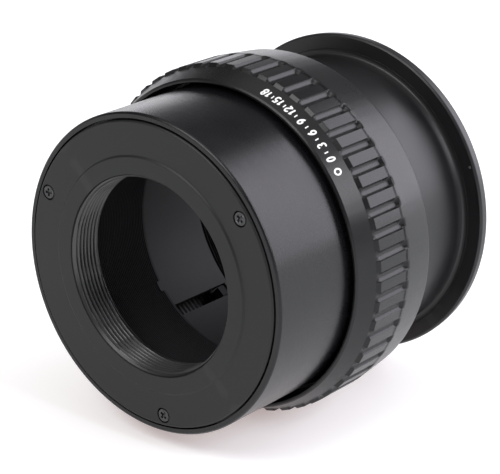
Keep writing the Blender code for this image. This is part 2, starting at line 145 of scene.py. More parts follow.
def softened(corners, steps):
    # Every corner (radius, station, rounding) of a closed outline turns into a quadratic curve between the two
    # points that lie the rounding away along its sides, with a support point a little further out on each side.
    corner = np.array(corners, float)
    p = corner[:, :2]
    before, after = np.roll(p, 1, 0) - p, np.roll(p, -1, 0) - p
    lengthBefore = np.linalg.norm(before, axis=1, keepdims=True)
    lengthAfter = np.linalg.norm(after, axis=1, keepdims=True)
    cut = np.minimum(corner[:, 2:3], rounding["longest"] * np.minimum(lengthBefore, lengthAfter))
    a, b = p + before / lengthBefore * cut, p + after / lengthAfter * cut
    s = np.linspace(0, 1, steps + 1)[None, :, None]
    curve = (1 - s) ** 2 * a[:, None] + 2 * s * (1 - s) * p[:, None] + s ** 2 * b[:, None]
    outer = p + before / lengthBefore * np.minimum(cut * rounding["support"], rounding["furthest"] * lengthBefore)
    inner = p + after / lengthAfter * np.minimum(cut * rounding["support"], rounding["furthest"] * lengthAfter)
    return np.concatenate([outer[:, None], curve, inner[:, None]], 1).reshape(-1, 2)


def evenRows(radius, start, end, count):
    return np.stack([np.full(count, float(radius)), np.linspace(start, end, count)], -1)


def outlineWith(corners, *inserts, steps=3):
    # extra rows go in after the numbered corner, on the straight side that follows it
    outline = softened(corners, steps)
    for after, rows in sorted(inserts, key=lambda pair: -pair[0]):
        outline = np.insert(outline, (after + 1) * (steps + 3), rows, axis=0)
    return outline


def turnedPiece(name, outline, clocks, shape):
    # A closed outline carried round the axis: row t and column c meet at (r(t) sin c, z(t), r(t) cos c).
    # shape moves the arrays of radius, clock and station before they are placed.
    radius, clock, station = (np.array(v) for v in np.broadcast_arrays(
        outline[:, :1], clocks[None, :], outline[:, 1:]))
    radius, clock, station = shape(radius, clock, station)
    return meshFrom(name, place(radius, clock, station),
                    gridQuads(len(outline), len(clocks), True, True))


def threadWave(station, clock, pitch, crest, starts=1):
    # a trapezoid wave between 0 and 1 whose phase climbs one pitch for every turn round the axis, or stays
    # level with no starts
    phase = station / pitch - starts * clock / (2 * math.pi)
    ridge = 1 - np.abs(2 * (phase % 1.0) - 1)
    return np.clip((ridge - crest) / (1 - 2 * crest), 0, 1)


def fade(value, start, end, width):
    # 0 outside start..end and 1 inside, with straight ramps of the given width
    return np.clip(np.minimum(value - start, end - value) / width, 0, 1)


# Round sinks for screws, pressed into a flat face of a turned piece

# as shares of the sink's radius, save for the face's band in mm and the margin in radians
sinkForm = {"steps": np.array([0.0, 0.3, 0.6, 0.85, 0.95, 0.985, 1.0, 1.03, 1.07, 1.12]), "reach": 1.12,
            "within": 1.119, "fade": 0.05, "wall": [0.985, 1.0, 1.03], "wallDepth": [1.0, 0.07, 0.0],
            "faceBand": 0.002, "margin": 0.008}
sinkOffsets = np.concatenate([-sinkForm["steps"][:0:-1], sinkForm["steps"]])


def sinkRows(face, centreRadius, sinkRadius, inward=1):
    offsets = sinkOffsets * sinkRadius
    return np.stack([centreRadius + offsets[::inward], np.full(len(offsets), float(face))], -1)


def sinkColumns(centres, centreRadius, sinkRadius, count):
    offsets = sinkOffsets * sinkRadius / centreRadius
    near = (np.radians(centres)[:, None] + offsets[None, :]) % (2 * math.pi)
    far = clearOf(evenClocks(count), np.radians(centres), offsets[-1] + sinkForm["margin"])
    return np.sort(np.concatenate([near.ravel(), far]))


def pressSinks(radius, clock, station, centres, centreRadius, sinkRadius, face, depth):
    # Around each centre a point of the square grid with largest offset m moves to the circle of radius m, and the
    # floor lies at the full depth up to the wall. Just inside the reach the move fades out to the grid.
    onFace = np.abs(station - face) < sinkForm["faceBand"]
    for centre in np.radians(centres):
        across, up = arcGap(clock, centre) * centreRadius, radius - centreRadius
        largest = np.maximum(np.abs(across), np.abs(up)) / sinkRadius
        length = np.hypot(across, up) / sinkRadius + 1e-9
        inside = onFace & (largest < sinkForm["within"])
        scale = largest / length
        weight = np.clip((sinkForm["reach"] - largest) / sinkForm["fade"], 0, 1)
        newUp = up * (1 + weight * (scale - 1))
        newAcross = across * (1 + weight * (scale * centreRadius / (centreRadius + newUp) - 1))
        drop = depth * np.interp(largest, sinkForm["wall"], sinkForm["wallDepth"])
        radius = np.where(inside, centreRadius + newUp, radius)
        clock = np.where(inside, centre + newAcross / centreRadius, clock)
        station = np.where(inside, station + drop, station)
    return radius, clock, station


# Materials. Patterns read Object coordinates, centred on the turning axis.

def newMaterial(name):
    material = bpy.data.materials.new(name)
    material.use_nodes = True
    tree = material.node_tree
    shader = next(n for n in tree.nodes if n.type == "BSDF_PRINCIPLED")
    return material, tree, shader


def addNode(tree, kind, inputs=None, **settings):
    node = tree.nodes.new(kind)
    for key, value in settings.items():
        setattr(node, key, value)
    for key, value in (inputs or {}).items():
        if isinstance(value, bpy.types.NodeSocket):
            tree.links.new(value, node.inputs[key])
        else:
            node.inputs[key].default_value = value
    return node


def maths(tree, operation, *values, clamp=False):
    return addNode(tree, "ShaderNodeMath", dict(enumerate(values)), operation=operation, use_clamp=clamp).outputs[0]


def centred(tree):
    coordinates = addNode(tree, "ShaderNodeTexCoord")
    return addNode(tree, "ShaderNodeMapping", {"Vector": coordinates.outputs["Object"],
                                               "Location": (0, 0, -axisHeight)}).outputs[0]


# How strongly each part of a finish shows. Ranges are pairs of low and high.
look = {"radiusShare": 0.83, "lineAround": 2.2, "speckFrom": (0.5, 0.85), "speck": 0.55, "speckGain": 1.9,
        "speckLift": 0.002, "edgeFrom": (0.52, 0.62), "edgeCloud": (0.2, 1), "wornGain": 3, "wornLift": 0.03,
        "roughGrain": 0.03, "roughLines": 0.02, "roughClouds": 0.03, "bump": 0.6, "bumpDepth": 0.00001}


def brighter(colour, gain, lift):
    return tuple(min(1.0, c * gain + lift) for c in colour)


def turnedVector(tree, point, around, across):
    # slow round the axis and quick across it, so noise on it reads as the fine lines a lathe leaves
    flat = addNode(tree, "ShaderNodeVectorMath", {0: point, 1: (1, 0, 1)}, operation="MULTIPLY").outputs[0]
    radius = addNode(tree, "ShaderNodeVectorMath", {0: flat}, operation="LENGTH").outputs["Value"]
    unit = addNode(tree, "ShaderNodeVectorMath", {0: flat}, operation="NORMALIZE").outputs[0]
    part = addNode(tree, "ShaderNodeSeparateXYZ", {0: point})
    side = addNode(tree, "ShaderNodeSeparateXYZ", {0: unit})
    depth = maths(tree, "MULTIPLY_ADD", radius, look["radiusShare"], part.outputs[1])
    quick = maths(tree, "MULTIPLY", depth, across)
    x = maths(tree, "MULTIPLY", side.outputs[0], around)
    z = maths(tree, "MULTIPLY", side.outputs[2], around)
    return addNode(tree, "ShaderNodeCombineXYZ", {0: x, 1: quick, 2: z}).outputs[0]


def noise(tree, vector, scale, detail=3.0, roughness=0.55):
    return addNode(tree, "ShaderNodeTexNoise", {"Vector": vector, "Scale": scale, "Detail": detail,
                                                "Roughness": roughness}).outputs["Fac"]


def spread(tree, value, low, high, fromLow=0.3, fromHigh=0.7):
    return addNode(tree, "ShaderNodeMapRange", {"Value": value, "From Min": fromLow, "From Max": fromHigh,
                                                "To Min": low, "To Max": high}).outputs["Result"]


def mixColours(tree, amount, first, second):
    mix = addNode(tree, "ShaderNodeMix", data_type="RGBA")
    for index, value in ((6, first), (7, second)):
        if isinstance(value, bpy.types.NodeSocket):
            tree.links.new(value, mix.inputs[index])
        else:
            mix.inputs[index].default_value = (*value, 1)
    tree.links.new(amount, mix.inputs[0])
    return mix.outputs[2]


def metalFinish(name, dark, light, roughness, grain, lines, metallic=0.0, grainSize=0.22, lineSize=0.07,
                clouds=14.0, rubbed=0.0, specular=0.5):
    # blasted grain and lathe lines in the bump, soft clouds in the colour, and all three in the roughness
    # grainSize, lineSize and clouds are in mm
    material, tree, shader = newMaterial(name)
    point = centred(tree)
    cloud = noise(tree, point, 1000 / clouds, 4)
    fine = noise(tree, point, 1000 / grainSize, 2, 0.6)
    line = noise(tree, turnedVector(tree, point, look["lineAround"], 1000 / lineSize), 1.0, 2, 0.6)
    colour = mixColours(tree, spread(tree, cloud, 0, 1), dark, light)
    speck = spread(tree, fine, 0.0, look["speck"], *look["speckFrom"])
    colour = mixColours(tree, speck, colour, brighter(light, look["speckGain"], look["speckLift"]))
    if rubbed:
        # rims and crests stand out of the surface, and handling has polished them a little
        edge = addNode(tree, "ShaderNodeNewGeometry").outputs["Pointiness"]
        worn = maths(tree, "MULTIPLY", spread(tree, edge, 0, 1, *look["edgeFrom"]),
                     spread(tree, cloud, *look["edgeCloud"]), clamp=True)
        worn = maths(tree, "MULTIPLY", worn, rubbed)
        colour = mixColours(tree, worn, colour, brighter(light, look["wornGain"], look["wornLift"]))
    tree.links.new(colour, shader.inputs["Base Color"])
    uneven = maths(tree, "ADD", spread(tree, fine, -look["roughGrain"], look["roughGrain"]),
                   spread(tree, line, -look["roughLines"], look["roughLines"]))
    cloudy = spread(tree, cloud, roughness - look["roughClouds"], roughness + look["roughClouds"])
    rough = maths(tree, "ADD", uneven, cloudy, clamp=True)
    tree.links.new(rough, shader.inputs["Roughness"])
    shader.inputs["Metallic"].default_value = metallic
    shader.inputs["Specular IOR Level"].default_value = specular
    height = maths(tree, "MULTIPLY_ADD", line, lines, maths(tree, "MULTIPLY", fine, grain))
    bump = addNode(tree, "ShaderNodeBump", {"Height": height, "Strength": look["bump"],
                                            "Distance": look["bumpDepth"]})
    tree.links.new(bump.outputs[0], shader.inputs["Normal"])
    return material


finishes = {
    "plate": metalFinish("fineBlastedPlate", (0.0036, 0.0036, 0.0039), (0.0058, 0.0058, 0.0062), 0.46,
                         grain=0.8, grainSize=0.16, lines=0.25, rubbed=0.25, specular=0.34),
    "barrel": metalFinish("satinAnodisedBarrel", (0.0032, 0.0031, 0.0037), (0.0050, 0.0048, 0.0058), 0.28,
                          grain=0.5, grainSize=0.2, lines=0.2, rubbed=0.2, specular=0.33),
    "grip": metalFinish("anodisedGrip", (0.0042, 0.0041, 0.0046), (0.0068, 0.0067, 0.0074), 0.30,
                        grain=0.7, grainSize=0.2, lines=0.2, rubbed=0.45, specular=0.31),
    "inside": metalFinish("ribbedInsideBlack", (0.0040, 0.0040, 0.0048), (0.0080, 0.0080, 0.0095), 0.62,
                          grain=1.0, grainSize=0.25, lines=0.5, specular=0.15),
    "guide": metalFinish("guideTubeBlack", (0.0100, 0.0100, 0.0106), (0.0160, 0.0160, 0.0170), 0.60,
                         grain=0.5, grainSize=0.3, lines=0.6, lineSize=0.12, specular=0.22),
    "thread": metalFinish("cutThread", (0.0060, 0.0060, 0.0062), (0.0110, 0.0105, 0.0108), 0.34,
                          grain=0.3, lines=0.15, specular=0.8),
    "sleeve": metalFinish("sleeveGrey", (0.012, 0.012, 0.013), (0.022, 0.022, 0.023), 0.45, metallic=0.3,
                          grain=0.4, lines=0.9),
    "retainer": metalFinish("retainerSteel", (0.05, 0.05, 0.053), (0.09, 0.09, 0.094), 0.3, metallic=1.0,
                            grain=0.3, lines=0.8),
    "rear": metalFinish("satinRearBarrel", (0.0036, 0.0035, 0.0041), (0.0056, 0.0054, 0.0063), 0.40,
                        grain=0.5, grainSize=0.2, lines=0.2, rubbed=0.25, specular=0.45),
    "chrome": metalFinish("turnedChrome", (0.60, 0.60, 0.59), (0.74, 0.74, 0.73), 0.16, metallic=1.0,
                          grain=0.1, lines=1.6, lineSize=0.05, clouds=20.0),
    "screw": metalFinish("blackenedScrew", (0.028, 0.028, 0.029), (0.060, 0.060, 0.062), 0.34, metallic=0.6,
                         grain=0.5, grainSize=0.12, lines=0.0, clouds=0.8, rubbed=0.7),
    "steelScrew": metalFinish("steelScrew", (0.34, 0.34, 0.35), (0.48, 0.48, 0.49), 0.25, metallic=1.0,
                              grain=0.4, grainSize=0.12, lines=0.0, clouds=0.8),
    "paint": metalFinish("whitePaint", (0.70, 0.70, 0.69), (0.86, 0.86, 0.85), 0.5,
                         grain=1.2, grainSize=0.1, lines=0.0, clouds=0.7),
    # painted shade: the index dot's white paint is given as dark grey, standing in for the shade on the flange face
    # it sits on
    "shadedDotPaint": metalFinish("shadedDotPaint", (0.02, 0.02, 0.02), (0.10, 0.10, 0.10), 0.5,
                             grain=1.2, grainSize=0.1, lines=0.0, clouds=0.4),
}
print("materials ready:", len(finishes))


# Lens mount plate with its screw thread

# sizes in mm and clocks in degrees, as in each piece's dictionary below
plate = {"throat": 20.5, "leadIn": 21.3, "leadInDepth": 1.1, "bossTop": 24.85, "bossRadius": 25.25,
         "bossHeight": 0.3, "faceRadius": 32.0, "edgeRadius": 32.3, "edgeFront": 0.6, "back": 2.0,
         "tubeRadius": 23.9, "depth": 7.4, "pitch": 1.0, "threadDepth": 0.62, "crest": 0.12, "threadTurns": 6.1,
         "rowsPerPitch": 14, "coneRows": 10, "threadFinishTo": 21.15, "screwCircle": 30.0,
         "screwClocks": [53.3, 173.3, 293.3], "sinkRadius": 1.65, "sinkDepth": 0.95, "columns": 200}


def plateShape(radius, clock, station):
    radius, clock, station = pressSinks(radius, clock, station, plate["screwClocks"], plate["screwCircle"],
                                        plate["sinkRadius"], plate["bossHeight"], plate["sinkDepth"])
    # the thread stands clear wherever it is deeper than the lead-in cone
    wave = threadWave(station, clock, plate["pitch"], plate["crest"]) * plate["threadDepth"]
    bore = radius < plate["leadIn"] - 0.06
    cut = plate["throat"] + wave * fade(station, -0.1, plate["depth"] - 0.2, 0.25)
    return np.where(bore, np.maximum(radius, cut), radius), clock, station


threadRows = evenRows(plate["throat"], plate["depth"] - 0.25, plate["leadInDepth"] + 0.05,
                      int(plate["threadTurns"] * plate["rowsPerPitch"]))
coneRows = np.stack([np.linspace(plate["throat"] + 0.02, plate["leadIn"] - 0.1, plate["coneRows"]),
                     np.linspace(plate["leadInDepth"] - 0.03, 0.14, plate["coneRows"])], -1)
# each corner of an outline is its radius, its station and its rounding
plateCorners = [(plate["leadIn"], 0.0, 0.10), (plate["bossTop"], 0.0, 0.06),
                (plate["bossRadius"], plate["bossHeight"], 0.04), (plate["faceRadius"], plate["bossHeight"], 0.08),
                (plate["edgeRadius"], plate["edgeFront"], 0.10), (plate["edgeRadius"], plate["back"], 0.15),
                (plate["tubeRadius"], plate["back"], 0.10), (plate["tubeRadius"], plate["depth"], 0.20),
                (plate["throat"] + 0.1, plate["depth"], 0.15)]
plateOutline = outlineWith(plateCorners,
                           (2, sinkRows(plate["bossHeight"], plate["screwCircle"], plate["sinkRadius"])),
                           (8, np.vstack([threadRows, coneRows])))
plateColumns = sinkColumns(plate["screwClocks"], plate["screwCircle"], plate["sinkRadius"], plate["columns"])
mountPlate = turnedPiece("mountPlate", plateOutline, plateColumns, plateShape)
adopt(mountPlate, finishes["plate"], "front_group", "plate_black", "lens_mount_plate")
paintInside(mountPlate, plate["threadFinishTo"], finishes["thread"])
print("mount plate done")


# Screws, each a square grid pressed round at the rim, with a cross recess in the middle

# as shares of the head's radius, save for the roll and the tip in mm
screwForm = {"steps": np.array([0, 0.08, 0.17, 0.21, 0.34, 0.47, 0.58, 0.64, 0.74, 0.84, 0.91, 0.96, 1.0]),
             "squareTo": 0.62, "roundOver": 0.3, "armHalf": 0.18, "armReach": 0.6, "armSlope": 0.6, "roll": 0.05,
             "rollFrom": [0.84, 0.96, 1.0], "rollShare": [0, 0.35, 1.0], "tip": 0.2,
             "under": [0, 0.3, 0.31, 0.62, 0.64, 0.93, 1.0]}


def screwPiece(name, clock, circle, face, direction, head, shank, length, spin, recess=0.42):
    # top: depth = recess where the point lies in one of two crossing arms, and a rim that rolls over.
    # underside: radius falls from head to shank while the depth grows, in steps of the largest offset m.
    line = np.concatenate([-screwForm["steps"][:0:-1], screwForm["steps"]])
    a, b = np.meshgrid(line, line, indexing="ij")
    m = np.maximum(np.abs(a), np.abs(b))
    scale = m / (np.hypot(a, b) + 1e-9)
    weight = np.clip((m - screwForm["squareTo"]) / screwForm["roundOver"], 0, 1)
    across, up = (v * (1 + weight * (scale - 1)) * head for v in (a, b))
    half, reach = screwForm["armHalf"], screwForm["armReach"]
    arms = ((np.abs(a) < half) & (np.abs(b) < reach)) | ((np.abs(b) < half) & (np.abs(a) < reach))
    roll = screwForm["roll"] * np.interp(m, screwForm["rollFrom"], screwForm["rollShare"])
    top = np.where(arms, recess * head * (1 - screwForm["armSlope"] * m), 0.0) + roll
    lower = np.interp(m, screwForm["under"], [0] + [shank / head] * 4 + [1.0, 1.0])
    depth = np.interp(m, screwForm["under"], [length, length, length - screwForm["tip"], head * 0.75, head * 0.7,
                                              head * 0.2, screwForm["roll"]])
    under = np.stack([a * scale / (m + 1e-9) * lower * head, b * scale / (m + 1e-9) * lower * head], -1)
    turn, c = math.radians(spin), math.radians(clock)
    points = np.stack([np.stack([across, up, top], -1), np.concatenate([under, depth[..., None]], -1)])
    tangent = np.array([math.cos(c), 0, -math.sin(c)])
    outward = np.array([math.sin(c), 0, math.cos(c)])
    sideways = tangent * math.cos(turn) + outward * math.sin(turn)
    upwards = outward * math.cos(turn) - tangent * math.sin(turn)
    centre = place(circle, c, face)
    spots = centre + mm * (points[..., :1] * sideways + points[..., 1:2] * upwards
                           + points[..., 2:] * np.array([0, direction, 0]))
    side = gridQuads(len(line), len(line))
    return meshFrom(name, spots, np.concatenate([side, side[:, ::-1] + len(line) ** 2]), weld=2e-6, sharp=32.0)


def screwSet(label, node, clocks, circle, screws, material, body, slotName):
    for n, (clock, spin) in enumerate(zip(clocks, screws["spins"])):
        piece = screwPiece("%s%d" % (label, n + 1), clock, circle, screws["face"], screws["direction"],
                           screws["head"], screws["shank"], screws["length"], spin)
        adopt(piece, material, body, slotName, "%s_%d" % (node, n + 1))


mountScrews = {"head": 1.35, "shank": 0.6, "length": 3.9, "face": 0.35, "direction": 1, "spins": [12.0, 47.0, 28.0]}
screwSet("mountScrew", "mount_screw", plate["screwClocks"], plate["screwCircle"], mountScrews, finishes["screw"],
         "front_group", "screw_black")


# Front barrel, with a finely ribbed tube inside it

front = {"radius": 33.9, "bore": 32.95, "end": 26.4, "rim": 0.7, "pocket": 32.65, "pocketFloor": 2.3,
         "ledgeBack": 4.4, "rimRadius": 33.55, "rimBack": 1.05, "skirtFront": 26.1, "skirtRadius": 33.6,
         "tubeRadius": 27.0, "tubeBore": 26.0, "tubeEnd": 27.6, "ribPitch": 0.5, "ribDepth": 0.16, "ribCrest": 0.1,
         "ribFront": 7.6, "ribRows": 241, "notchClock": 233.0, "notchWidth": 2.2, "notchDepth": 1.2,
         "notchEdge": 0.04, "columns": 180, "insideTo": 27.2}


def frontShape(radius, clock, station):
    ribs = threadWave(station, clock, front["ribPitch"], front["ribCrest"], 0) * front["ribDepth"]
    bore = radius < front["tubeBore"] + 0.01
    radius = np.where(bore, radius + ribs * fade(station, front["ribFront"], front["tubeEnd"] - 0.6, 0.3), radius)
    # the notch pulls the tube's back edge forward by its depth, full between its sides
    gap = np.abs(arcGap(clock, math.radians(front["notchClock"]))) * front["tubeBore"]
    full = np.clip((front["notchWidth"] / 2 + front["notchEdge"] - gap) / (2 * front["notchEdge"]), 0, 1)
    edge = (radius < front["tubeRadius"] + 0.02) & (station > front["tubeEnd"] - front["notchDepth"] - 0.3)
    pulled = front["tubeEnd"] - front["notchDepth"] - (front["tubeEnd"] - station) * 0.2
    return radius, clock, np.where(edge, station + full * (np.minimum(pulled, station) - station), station)


notchMiddle = math.radians(front["notchClock"])
notchSteps = np.array([-1.16, -1.12, -1.08, -1.04, 0, 1.04, 1.08, 1.12, 1.16])
frontColumns = np.sort(np.concatenate([clearOf(evenClocks(front["columns"]), notchMiddle, 0.05),
                                       notchMiddle + notchSteps / front["tubeBore"]]))
frontCorners = [(front["rimRadius"], front["rim"], 0.12), (front["radius"], front["rimBack"], 0.15),
                (front["radius"], front["skirtFront"], 0.15), (front["skirtRadius"], front["end"], 0.12),
                (front["bore"], front["end"], 0.12), (front["bore"], front["ledgeBack"], 0.2),
                (front["tubeRadius"], front["ledgeBack"], 0.2), (front["tubeRadius"], front["tubeEnd"], 0.06),
                (front["tubeBore"], front["tubeEnd"], 0.06), (front["tubeBore"], front["pocketFloor"], 0.08),
                (front["pocket"], front["pocketFloor"], 0.08), (front["pocket"], front["rim"], 0.08)]
ribRows = evenRows(front["tubeBore"], front["tubeEnd"] - 0.2, front["ribFront"] - 0.2, front["ribRows"])
frontOutline = outlineWith(frontCorners, (6, evenRows(front["tubeRadius"], 24.0, 27.3, 6)), (8, ribRows), steps=2)
frontBarrel = turnedPiece("frontBarrel", frontOutline, frontColumns, frontShape)
adopt(frontBarrel, finishes["barrel"], "front_group", "barrel_black", "front_barrel")
paintInside(frontBarrel, front["insideTo"], finishes["inside"])
print("front barrel done")


# Guide tube with four slots and an outer thread

guide = {"bore": 27.4, "radius": 28.4, "front": 23.5, "back": 46.9, "flangeRadius": 31.45, "flangeBack": 24.1,
         "slotWidth": 3.0, "slotRadius": 28.0, "slotFront": 24.9, "slotBack": 45.9,
         "slotClocks": [39.5, 129.5, 219.5, 309.5], "pitch": 1.5, "ridge": 1.05, "crest": 0.2,
         "threadFront": 25.2, "threadBack": 46.0, "chamfer": 0.06, "rowStep": 0.125, "columns": 160}


def windowedTube(name, clocks, stations, innerRadius, outerRadius, isOpen):
    # Two skins over the same grid of clock and station, one at each radius. Cells marked open are left out, and
    # wherever a kept cell meets an open one or the tube's end, a wall joins the skins along that side.
    rows, columns = len(stations), len(clocks)
    clock, station = np.meshgrid(clocks, stations)
    skins = np.concatenate([place(innerRadius(station, clock), clock, station).reshape(-1, 3),
                            place(outerRadius(station, clock), clock, station).reshape(-1, 3)])
    cells = gridQuads(rows, columns, False, True)
    width = (np.roll(clock, -1, 1) - clock) % (2 * math.pi)
    kept = ~isOpen(0.5 * (station[:-1] + station[1:]), clock[:-1] + 0.5 * width[:-1])
    outer = rows * columns
    faces = [cells[kept.ravel()], cells[kept.ravel()][:, ::-1] + outer]
    index = np.arange(outer).reshape(rows, columns)
    padded = np.zeros((rows + 1, columns), bool)
    padded[1:-1] = kept
    lower, upper = padded[:-1], padded[1:]          # the cells on either side of each line of equal station
    left, right = np.roll(kept, 1, 1), kept         # and of each line of equal clock
    nextIndex = np.roll(index, -1, 1)
    for here, there, side in ((index, nextIndex, lower & ~upper), (nextIndex, index, upper & ~lower)):
        faces.append(np.stack([here, here + outer, there + outer, there], -1)[side])
    for here, there, side in ((index[1:], index[:-1], left & ~right), (index[:-1], index[1:], right & ~left)):
        faces.append(np.stack([here, here + outer, there + outer, there], -1)[side])
    return meshFrom(name, skins, np.concatenate(faces), weld=1e-7, sharp=30.0)


slotHalf = guide["slotWidth"] / 2 / guide["slotRadius"]
slotCentres = np.radians(guide["slotClocks"])
slotSteps = np.array([-1.12, -1.0, -0.5, 0.0, 0.5, 1.0, 1.12])
guideColumns = np.sort(np.concatenate([clearOf(evenClocks(guide["columns"]), slotCentres, slotHalf + 0.02),
                                       (slotCentres[:, None] + slotHalf * slotSteps).ravel()]) % (2 * math.pi))
guideRows = np.unique(np.round(np.concatenate([
    [guide["front"], guide["front"] + 0.05, guide["flangeBack"] - 0.05, guide["flangeBack"],
     guide["flangeBack"] + 0.02, 24.5, guide["slotFront"], guide["slotBack"], 46.2, 46.5,
     guide["back"] - guide["chamfer"], guide["back"]],
    np.arange(guide["slotFront"] + guide["rowStep"], guide["slotBack"], guide["rowStep"])]), 4))


def guideChamfer(station):
    fromEnd = np.minimum(station - guide["front"], guide["back"] - station)
    return np.clip(guide["chamfer"] - fromEnd, 0, guide["chamfer"])


def guideOuter(station, clock):
    along = fade(station, guide["threadFront"], guide["threadBack"], 0.4)
    ridge = guide["ridge"] * threadWave(station, clock, guide["pitch"], guide["crest"]) * along
    flange = np.where(station <= guide["flangeBack"] + 0.001, guide["flangeRadius"], guide["radius"])
    return flange + ridge - guideChamfer(station)


def guideInner(station, clock):
    return guide["bore"] + guideChamfer(station)


def inSlot(station, clock):
    gap = np.min(np.abs(arcGap(clock[..., None], slotCentres)), axis=-1)
    return (gap < slotHalf) & (station > guide["slotFront"]) & (station < guide["slotBack"])


guideTube = windowedTube("guideTube", guideColumns, guideRows, guideInner, guideOuter, inSlot)
adopt(guideTube, finishes["guide"], "guide_group", "guide_black", "guide_tube")
print("guide tube done")


# Focus ring: a coned collar, pads parted by grooves, and a plain tapered band

grip = {"pads": 54, "phase": 5.0, "padRadius": 38.15, "grooveRadius": 37.4, "topHalf": 1.13, "grooveRise": 0.93,
        "grooveSteps": 9, "front": 22.5, "back": 45.8, "coneFront": 22.85, "coneFrontRadius": 35.82,
        "coneBack": 26.9, "coneBackRadius": 37.36, "padFront": 27.55, "padBack": 37.0, "grooveFront": 26.7,
        "outside": 37.3, "bandBack": 45.35, "bandBackRadius": 37.31, "endRadius": 36.96, "sink": 44.4,
        "sinkRadius": 36.5, "bore": 34.9, "deepBore": 34.3, "step": 32.0,
        "floorStations": [26.7, 26.92, 27.1, 27.3, 36.0, 36.2, 36.5, 36.74, 37.0],
        "floorRadii": [37.34, 37.37, 37.40, 37.40, 37.40, 37.46, 37.85, 38.10, 38.14],
        "padStations": [30.0, 33.0, 35.1, 35.4, 35.6, 35.9, 36.2, 36.5, 36.74]}


def padColumns():
    # Across one pad the sink is 0 on the flat top. Beyond it the groove is an arc of a circle whose sagitta is the
    # groove's depth, sqrt(R^2 - t^2) - (R - depth) at the distance t from its middle, so it meets the pad at an edge.
    half = math.pi * grip["padRadius"] / grip["pads"]
    deep = grip["padRadius"] - grip["grooveRadius"]
    width = half - grip["topHalf"]
    bend = (width ** 2 + deep ** 2) / (2 * deep)
    turn = np.linspace(0, 1, grip["grooveSteps"])
    t = width * np.sin(turn * math.pi / 2) ** grip["grooveRise"]
    arc = (np.sqrt(bend ** 2 - t ** 2) - (bend - deep)) / deep
    across = np.concatenate([t - half, [-grip["topHalf"] + 0.05, grip["topHalf"] - 0.05], (half - t)[:0:-1]])
    sunk = np.concatenate([arc, [0, 0], arc[:0:-1]])
    clocks = np.radians(grip["phase"]) + (np.arange(grip["pads"])[:, None] * 2 * math.pi / grip["pads"]
                                          + across[None, :] / grip["padRadius"])
    order = np.argsort(clocks.ravel() % (2 * math.pi))
    return clocks.ravel()[order] % (2 * math.pi), np.tile(sunk, grip["pads"])[order]


gripColumns, gripSunk = padColumns()


def gripShape(radius, clock, station):
    # the grooves' floor lies under the pads' outline, and gripSunk says how much of the way down a column is
    floor = np.interp(station, grip["floorStations"], grip["floorRadii"])
    outside = (radius > grip["outside"]) & (station > grip["grooveFront"]) & (station < grip["padBack"])
    low = np.minimum(radius, floor)
    return np.where(outside, radius + (low - radius) * gripSunk[None, :], radius), clock, station


gripCorners = [(35.45, grip["front"], 0.05), (grip["coneFrontRadius"], grip["coneFront"], 0.05),
               (grip["coneBackRadius"], grip["coneBack"], 0.06), (grip["padRadius"], grip["padFront"], 0.08),
               (grip["padRadius"], grip["padBack"], 0.5), (grip["bandBackRadius"], grip["bandBack"], 0.15),
               (grip["endRadius"], grip["back"], 0.10), (grip["sinkRadius"], grip["back"], 0.06),
               (grip["sinkRadius"], grip["sink"], 0.06), (35.3, grip["sink"], 0.10),
               (grip["deepBore"], 44.3, 0.06), (grip["deepBore"], grip["step"], 0.06),
               (grip["bore"], grip["step"], 0.10), (grip["bore"], 22.7, 0.06), (35.05, grip["front"], 0.05)]
padRows = np.stack([np.full(len(grip["padStations"]), grip["padRadius"]), grip["padStations"]], -1)
gripOutline = outlineWith(gripCorners, (3, padRows), steps=2)
gripRing = turnedPiece("gripRing", gripOutline, gripColumns, gripShape)
adopt(gripRing, finishes["grip"], "ring_group", "grip_black", "grip_ring")
print("grip ring done:", len(gripRing.data.polygons), "faces")


# Travel scale printed on the collar, in plain numerals

def arcPath(x, y, rx, ry, start, end, count=14):
    turn = np.radians(np.linspace(start, end, count))
    return np.stack([x + rx * np.cos(turn), y + ry * np.sin(turn)], -1)


def linePath(*points):
    # extra points along each straight stroke, so that it can bend round the collar
    points = np.array(points, float)
    s = np.linspace(0, 1, 4)[:-1, None]
    body = (points[:-1, None] * (1 - s) + points[1:, None] * s).reshape(-1, 2)
    return np.concatenate([body, points[-1:]])


numerals = {
    "0": [arcPath(0.32, 0.5, 0.27, 0.5, 90, 450, 26)],
    "1": [linePath((0.12, 0.74), (0.36, 1.0), (0.36, 0.0))],
    "2": [np.concatenate([arcPath(0.32, 0.70, 0.28, 0.30, 165, -38), linePath((0.04, 0.02), (0.62, 0.02))])],
    "3": [arcPath(0.30, 0.75, 0.27, 0.25, 150, -90), arcPath(0.30, 0.26, 0.30, 0.26, 90, -150)],
    "5": [linePath((0.58, 0.98), (0.12, 0.98), (0.09, 0.52)), arcPath(0.30, 0.31, 0.30, 0.31, 135, -145)],
    "6": [arcPath(0.33, 0.30, 0.28, 0.30, 0, 360, 22), arcPath(0.75, 0.32, 0.70, 0.70, 180, 112)],
    "8": [arcPath(0.32, 0.76, 0.24, 0.24, 0, 360, 22), arcPath(0.32, 0.27, 0.29, 0.27, 0, 360, 22)],
    "9": [arcPath(0.31, 0.70, 0.28, 0.30, 0, 360, 22), arcPath(-0.11, 0.68, 0.70, 0.70, 0, -68)],
}
marking = {"figures": ["0", "3", "6", "9", "12", "15", "18"], "startClock": 48.2, "stepClock": 5.15, "height": 1.6,
           "width": 1.9, "narrow": 0.72, "spacing": 0.78, "stroke": 0.36, "baseline": 25.5, "slant": 0.18,
           "lift": 0.02, "thick": 0.03, "radius": 36.9, "tick": (0.45, 1.25), "tickWidth": 0.26,
           "circleClock": 4.4, "circleRadius": 0.62, "circleUp": 0.85}


def arcLength(degrees):
    return degrees * math.pi / 180 * marking["radius"]


def collarRadius(station):
    # a straight cone between the collar's two rims
    slope = (grip["coneBackRadius"] - grip["coneFrontRadius"]) / (grip["coneBack"] - grip["coneFront"])
    return grip["coneFrontRadius"] + (station - grip["coneFront"]) * slope


